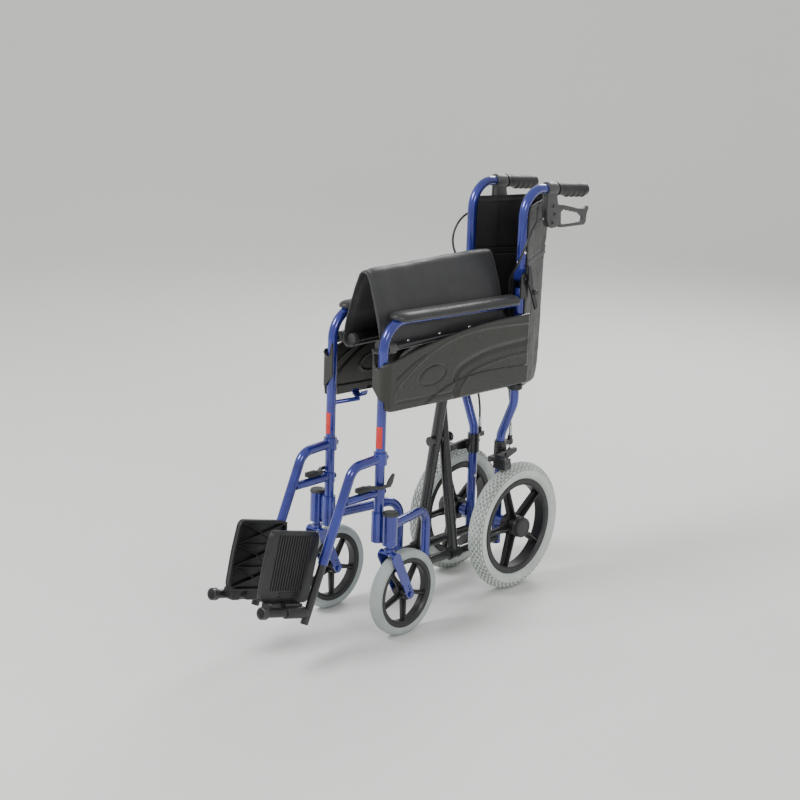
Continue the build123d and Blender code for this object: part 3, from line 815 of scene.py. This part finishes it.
def back_cloth(level, low, high, beads, slant):
    """One of the two back cloths, piped at its beads. slant lifts its lower hem at the canes."""
    steps = 56

    def line(z):
        return [Vector((p.x, p.y, z)) for p in back_section(z)]

    def lift(share, z, point, run):
        normal = Vector((run.y, -run.x, 0))
        inwards = min(share, 1 - share)
        held = min(1, max(0, (inwards - 0.17) / 0.08))
        folds = 3.0 * rumple((point.x, point.y * 0.6, z * 0.35), 48, 5) * held
        folds += 1.0 * rumple((point.x * 1.5, point.y, z), 22, 9) * held
        seam = -1.6 * exp(-((inwards - 0.245) / 0.006) ** 2)
        seam += 1.0 * exp(-((inwards - 0.26) / 0.008) ** 2)
        end = min(z - low, high - z)
        hem = 1.0 * exp(-((end - 6) / 5) ** 2) - 1.1 * exp(-((end - 14) / 1.7) ** 2)
        piping = sum(3.0 * exp(-((z - bead) / 2.4) ** 2) for bead in beads)
        lift_foot = slant * max(0, 1 - (z - low) / 60) * (1 - (point.y - cane_run) / 190)
        return normal * (folds + seam + hem + piping) + Vector((0, 0, lift_foot))

    stations = sorted([low + (high - low) * k / steps for k in range(steps + 1)]
                      + [bead + d for bead in beads for d in (-3.4, -1.5, 0.2, 1.6, 3.3)])
    made = cloth(f"back_cloth_{level}", line, stations, lift, weave, 3.0)
    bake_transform(made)
    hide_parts(f"back_cloth_{level}_left", f"back_cloth_{level}_right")


# ---------------------------------------------------------------- handles and brakes


def grip(name, mirror):
    """A rubber grip, smooth above and scalloped for four fingers below."""
    front, rear, steps = 584.0, 704.0, 96
    rings = []
    for k in range(steps + 1):
        y = front + (rear - front) * k / steps
        flange = 2.4 * exp(-((y - front - 1.5) / 2.2) ** 2)
        end = max(0, (y - rear + 9) / 9)
        body = 14.2 + 1.1 * eased(y - 600, 20) + flange
        ring = []
        for j in range(40):
            turn = 2 * pi * j / 40
            below = max(0, -sin(turn)) ** 1.3
            finger = sum(exp(-((y - 624 - 20 * n) / 5.2) ** 2) for n in range(4))
            radius = (body + 4.4 * below * finger) * sqrt(max(0.03, 1 - end ** 2.2))
            ring.append(Vector((frame_half + radius * cos(turn), y,
                                handle_height(y) + radius * sin(turn))))
        rings.append(ring)
    return Piece().add(*loft(rings)).make(name, [grip_rubber], mirror, 50)


def brake_housing(name, mirror):
    """The housing clamped round the handle, its two cheeks, and three screws."""
    made = Piece()
    front, rear = 545, 581
    along = Vector((0, rear - front, handle_height(rear) - handle_height(front)))
    collar = [(0, 11.2), (0, 14.6), (1.5, 15.8), (5, 16.2), (31, 16.2), (34.5, 15.8), (36, 14.6),
              (36, 11.2)]
    made.add(*turned(collar, (frame_half, front, handle_height(front)), along, 48, loop=True))
    cheek = rounded([(546, 962), (580, 958), (582, 940), (586, 925), (598, 908), (600, 886),
                     (588, 869), (560, 868), (548, 884), (545, 910)], 12)
    core = rounded([(547, 958), (574, 954), (568, 905), (566, 872), (556, 873), (549, 888)], 6)
    for x in (frame_half - 6.6, frame_half + 6.6):
        made.add(*side_plate([cheek], 4.6, 1.4, x))
    made.add(*side_plate([core], 12, 0.6, frame_half))
    for y, z in ((566, 921), (573, 901), (566, 881)):
        made.add(*screw((frame_half + 8.4, y, z), (1, 0, 0), 4.6, 2.6), slot=1)
        made.add(*screw((frame_half - 8.4, y, z), (-1, 0, 0), 4.6, 2.6), slot=1)
    return made.make(name, [housing_plastic, satin_black], mirror)


def brake_lever(name, mirror):
    """The looped lever, with finger waves under its upper arm and a wing at its tip."""
    outer = rounded([(585, 908), (602, 921), (640, 913), (676, 904), (700, 902), (712, 908),
                     (715, 901), (708, 890), (706, 868), (699, 862), (602, 865), (585, 892)], 7)
    steps, fingers = 24, 4
    waves = [(612 + 64 * k / steps, 908.5 - 14.5 * k / steps - 1.6 * cos(2 * pi * fingers * k / steps))
             for k in range(steps + 1)]
    window = [*waves, *rounded([(692, 884), (691, 871), (607, 873), (605, 905)], 5)[3:]]
    made = Piece().add(*side_plate([outer, window], 9, 1.8, frame_half))
    tongue = rounded([(566, 906), (590, 908), (604, 912), (604, 880), (590, 893), (566, 894)], 4)
    made.add(*side_plate([tongue], 7.6, 1, frame_half))
    return made.make(name, [housing_plastic], mirror)


cable_r = 2.6
cable_route = [(77, 543, 893), (86, 520, 897), (100, 487, 893), (109, 457, 873), (110, 436, 840),
               (100, 429, 806), (82, 435, 781), (62, 445, 760), (55, 456, 731), (54, 461, 680),
               (54, 463, 620), (55, 464, 560), (54, 471, 505), (50, 484, 462), (48, 492, 424),
               (48, 494, 392), (48, 494.5, 366.4)]


def cable_curve(mirror, bevel):
    """A mesh along the cable's route: a tube of a radius, or a bare line."""
    curve = bpy.data.curves.new("cable", "CURVE")
    curve.dimensions = "3D"
    curve.resolution_u = 10
    curve.bevel_depth = bevel
    curve.bevel_resolution = 5
    curve.use_fill_caps = bevel > 0
    spline = curve.splines.new("NURBS")
    spline.points.add(len(cable_route) - 1)
    for point, (x, y, z) in zip(spline.points, cable_route):
        point.co = (*at(x * mirror, y, z), 1)
    spline.order_u = 3
    spline.use_endpoint_u = True
    holder = bpy.data.objects.new("cable", curve)
    mesh = bpy.data.meshes.new_from_object(holder)
    bpy.data.objects.remove(holder)
    bpy.data.curves.remove(curve)
    return mesh


def brake_cable(side, mirror):
    """The cable's sheath, a tube along the cable's route past the hinge."""
    name = f"brake_cable_sheath_{side}"
    mesh = cable_curve(mirror, cable_r * MM)
    mesh.materials.append(sheath)
    for face in mesh.polygons:
        face.use_smooth = True
    made = bpy.data.objects.new(name, mesh)
    bpy.context.scene.collection.objects.link(made)
    path = [tuple(v.co) for v in cable_curve(mirror, 0).vertices]
    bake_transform(made)
    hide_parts(f"brake_cable_{side}")


def cable_ends(side, mirror):
    """The bright ferrule at the housing, and the adjuster with its bare wire at the brake."""
    start, after = Vector(cable_route[0]), Vector(cable_route[1])
    ferrule = [(-4, 3.6), (3, 3.6), (4.5, 3.1), (13, 3.1), (14.5, 2.7)]
    upper = Piece().add(*turned(ferrule, start, after - start, 20))
    settle(upper.make(f"cable_ferrule_{side}", [steel], mirror), f"upper_back_{side}", "grey_plastic")
    foot = Vector(cable_route[-1])
    barrel = [(-3, 2.9), (0, 4.4), (4, 4.4), (5, 3.2), (26, 3.2), (27.5, 2.8)]
    lower = Piece().add(*turned(barrel, foot, (0, 0, 1), 20))
    lower.add(*turned([(0, 0.9), (34, 0.9)], foot - Vector((0, 0, 34)), (0, 0, 1), 10))
    ring = [(0, 3.9), (1.1, 4.4), (2.2, 3.9)]
    for k in range(5):
        lower.add(*turned(ring, foot + Vector((0, 0, 6 + 3.2 * k)), (0, 0, 1), 20))
    settle(lower.make(f"cable_adjuster_{side}", [steel], mirror), f"{side}_side", "grey_plastic")


def handles():
    for side, mirror in SIDES:
        settle(grip(f"grip_rubber_{side}", mirror), f"upper_back_{side}", "grip_rubber",
               f"grip_{side}")
        settle(brake_housing(f"brake_housing_{side}", mirror), f"upper_back_{side}",
               "grey_plastic", f"brake_body_{side}")
        settle(brake_lever(f"brake_lever_loop_{side}", mirror), f"brake_lever_{side}",
               "grey_plastic", f"brake_lever_{side}")
        brake_cable(side, mirror)
        cable_ends(side, mirror)


# ---------------------------------------------------------------- footplates and legrests

leg_slope, leg_top_y, leg_top_z, pin_z = 0.433, -88, 412, 113
pin_start = Vector((frame_half, leg_top_y - leg_slope * (leg_top_z - pin_z), pin_z))
pin_dir = Vector((0, -1, 0.2516)).normalized()
pedal_up = Vector((0, 0.2516, 1)).normalized()


def footplate(name, mirror):
    """Ribbed tread outwards, a lattice of stiffeners inwards, and the barrel on the pin."""
    made = Piece()
    skin, lattice = pin_start - Vector((24.2, 0, 0)), pin_start - Vector((30.2, 0, 0))
    corners = [(-18, 15), (120, 15), (133, 28), (135, 100), (131, 173), (-14, 173), (-20, 120)]
    outline = rounded(corners, 16)
    centre = Vector((57, 94))
    inner = rounded([centre + (Vector(p) - centre) * 0.93 for p in corners], 13)
    made.add(*plate([outline], 5, 1.5, skin, pin_dir, pedal_up))
    made.add(*plate([outline, inner], 7, 1.2, lattice, pin_dir, pedal_up))
    for low, high in ((20, 68), (68, 118), (118, 168)):
        for a, b in (((-13, low), (128, high)), ((-13, high), (128, low))):
            run = Vector(b) - Vector(a)
            side = Vector((-run.y, run.x)).normalized() * 1.5
            bar = [Vector(a) - side, Vector(b) - side, Vector(b) + side, Vector(a) + side]
            made.add(*plate([bar], 6.4, 0.5, lattice, pin_dir, pedal_up))
        shelf = [(-14, high - 1.5), (129, high - 1.5), (129, high + 1.5), (-14, high + 1.5)]
        made.add(*plate([shelf], 6.4, 0.5, lattice, pin_dir, pedal_up))
    raised = skin + Vector((3.2, 0, 0))
    for k in range(13):
        across = 12 + 7.8 * k
        rib = rounded([(across - 2, 42), (across + 2, 42), (across + 2, 164), (across - 2, 164)], 2)
        made.add(*plate([rib], 3, 1.1, raised, pin_dir, pedal_up))
    for height in (27, 34):
        step = rounded([(20, height), (78, height), (78, height + 4), (20, height + 4)], 2)
        made.add(*plate([step], 3, 1.0, raised, pin_dir, pedal_up))
    barrel = [(14.4, 6.2), (14.4, 12), (15.4, 13), (70.5, 13), (71.8, 12), (72, 9.8), (129.6, 9.8),
              (130.6, 8.8), (130.6, 6.2)]
    made.add(*turned(barrel, pin_start, pin_dir, 40, loop=True))
    for start, end in ((17, 70), (88, 114)):
        web = rounded([(start, -6), (end, -6), (end, 19), (start, 19)], 5)
        made.add(*plate([web], 30, 2, pin_start - Vector((17.5, 0, 0)), pin_dir, pedal_up))
    return made.make(name, [wheel_plastic], mirror)


def pedal_knob(name, mirror):
    """The moulded cap on the end of the pedal's pin, with a raised rim."""
    cap = [(130.9, 9.8), (130.9, 12.6), (132, 13.8), (141, 13.8), (144, 12.8), (145, 11), (144, 10),
           (144, 0.4)]
    return Piece().add(*turned(cap, pin_start, pin_dir, 40)).make(name, [cap_plastic], mirror)


def latch(name, mirror):
    """The catch: a ribbed thumb block, an arm round the front tube, and a wing to push."""
    made = Piece()
    body = rounded([(70, -74), (85, -74), (85, -31), (97, -15), (97, 19), (91.5, 19), (91.5, -12),
                    (79, -26), (70, -26)], 4)
    made.add(*plate([body], 8, 1.6, (0, 0, 354.5), (1, 0, 0), (0, 1, 0)))
    for k in range(5):
        rib = [(69, -70 + 6 * k), (86, -70 + 6 * k), (86, -67.6 + 6 * k), (69, -67.6 + 6 * k)]
        made.add(*plate([rib], 11, 0.6, (0, 0, 355), (1, 0, 0), (0, 1, 0)))
    wing = rounded([(2, 352), (22, 354), (30, 378), (24, 381), (8, 366)], 5)
    made.add(*side_plate([wing], 4.4, 1.2, 94.2))
    return made.make(name, [cap_plastic], mirror)


def clamp_knobs(name, mirror):
    """Two small clamp bolts with their lugs, behind the legrest's sleeves."""
    made = Piece()
    for z, reach in ((416, 20), (338, 14)):
        lug = [(11.6, 6.6), (14, 7), (reach - 2, 7), (reach, 5.4), (reach, 0.4)]
        made.add(*turned(lug, (frame_half, 2, z), (0, 1, 0), 24))
        made.add(*screw((frame_half, reach + 2, z), (0, 1, 0), 4.4, 3), slot=1)
    return made.make(name, [paint, steel], mirror)


def legrests():
    for side, mirror in SIDES:
        settle(footplate(f"footplate_tread_{side}", mirror), f"footplate_{side}",
               "black_plastic", f"footplate_{side}")
        settle(pedal_knob(f"pedal_knob_{side}", mirror), f"hanger_{side}", "black_plastic")
        settle(latch(f"latch_moulding_{side}", mirror), f"hanger_latch_{side}", "black_plastic",
               f"hanger_latch_{side}")
        settle(clamp_knobs(f"clamp_knobs_{side}", mirror), f"hanger_{side}", "blue_paint")


# ---------------------------------------------------------------- small fittings


def label_strip(name, mirror):
    """A plain red strip stuck round the front of the tube."""
    radius, low, high = tube_r + 0.25, 441.0, 490.0
    outer = arc((frame_half, 0), radius, -128, -32, 16)
    inner = arc((frame_half, 0), radius - 0.3, -32, -128, 16)
    rings = [[Vector((*p, low)), Vector((*p, high))] for p in outer + inner]
    return Piece().add(*loft(rings, wrap=True, closed=False)).make(name, [red_label], mirror, 50)


def rail_plug(name, mirror, y, way):
    """The moulded plug in a seat rail's end."""
    profile = [(-2, 12.6), (0, 13.6), (9, 13.6), (11.4, 12.6), (12.4, 10), (12.4, 0.4)]
    made = Piece().add(*turned(profile, (lower_half, y, seat_z), (0, way, 0), 36))
    return made.make(name, [cap_plastic], mirror)


def cloth_screws(name, mirror):
    """Screws that hold the seat cloth to its rail."""
    made = Piece()
    out = Vector((cos(radians(12)), 0, sin(radians(12))))
    first, pitch, count = 101, 105, 4
    for k in range(count):
        place = Vector((lower_half, first + pitch * k, seat_z)) + out * 16.4
        made.add(*screw(place, out, 4.2, 2.4))
    return made.make(name, [steel], mirror)


def frame_rivets(name, mirror, places):
    """Rivet heads, each by its place and the way it faces."""
    made = Piece()
    for place, along in places:
        made.add(*screw(place, along, 3.8, 2.6))
    return made.make(name, [steel], mirror)


def lever_knob(name, mirror):
    """The push button on the back lever."""
    profile = [(0, 6.4), (3.6, 6.4), (5.2, 5.2), (5.6, 0.4)]
    button = (frame_half + 22, cane_run + 30, 726)
    return Piece().add(*turned(profile, button, (1, 0, 0), 28)).make(name, [cap_plastic], mirror)


def fittings():
    for side, mirror in SIDES:
        rail_body = "brace_p" if side == "left" else "brace_q"
        settle(label_strip(f"label_strip_{side}", mirror), f"{side}_side", "blue_paint")
        settle(rail_plug(f"rail_plug_front_{side}", mirror, 34, -1), rail_body, "grey_plastic")
        settle(rail_plug(f"rail_plug_rear_{side}", mirror, 442, 1), rail_body, "grey_plastic")
        settle(cloth_screws(f"seat_screws_{side}", mirror), f"seat_cloth_{side}", "grey_plastic")
        upper = [((frame_half + 10.6, cane_run, 822), (1, 0, 0)),
                 ((frame_half, cane_run - 10.6, 798), (0, -1, 0))]
        lower = [((frame_half - 14.4, cane_run, 762), (-1, 0, 0)),
                 ((frame_half, 10.6, 470), (0, 1, 0)),
                 ((lower_half - 10.6, cane_run, 250), (-1, 0, 0))]
        settle(frame_rivets(f"upper_rivets_{side}", mirror, upper), f"upper_back_{side}",
               "grey_plastic")
        settle(frame_rivets(f"frame_rivets_{side}", mirror, lower), f"{side}_side", "grey_plastic")
        settle(lever_knob(f"lever_knob_{side}", mirror), f"back_lever_{side}", "black_paint")


look()
studio()
paint_cad()
wheels()
side_panels()
arm_pads()
seat_sling()
back_cloth("lower", 472, back_join + back_lap, (), 26)
back_cloth("upper", back_join - back_lap, 931, (791, 798, 805), 0)
handles()
legrests()
fittings()
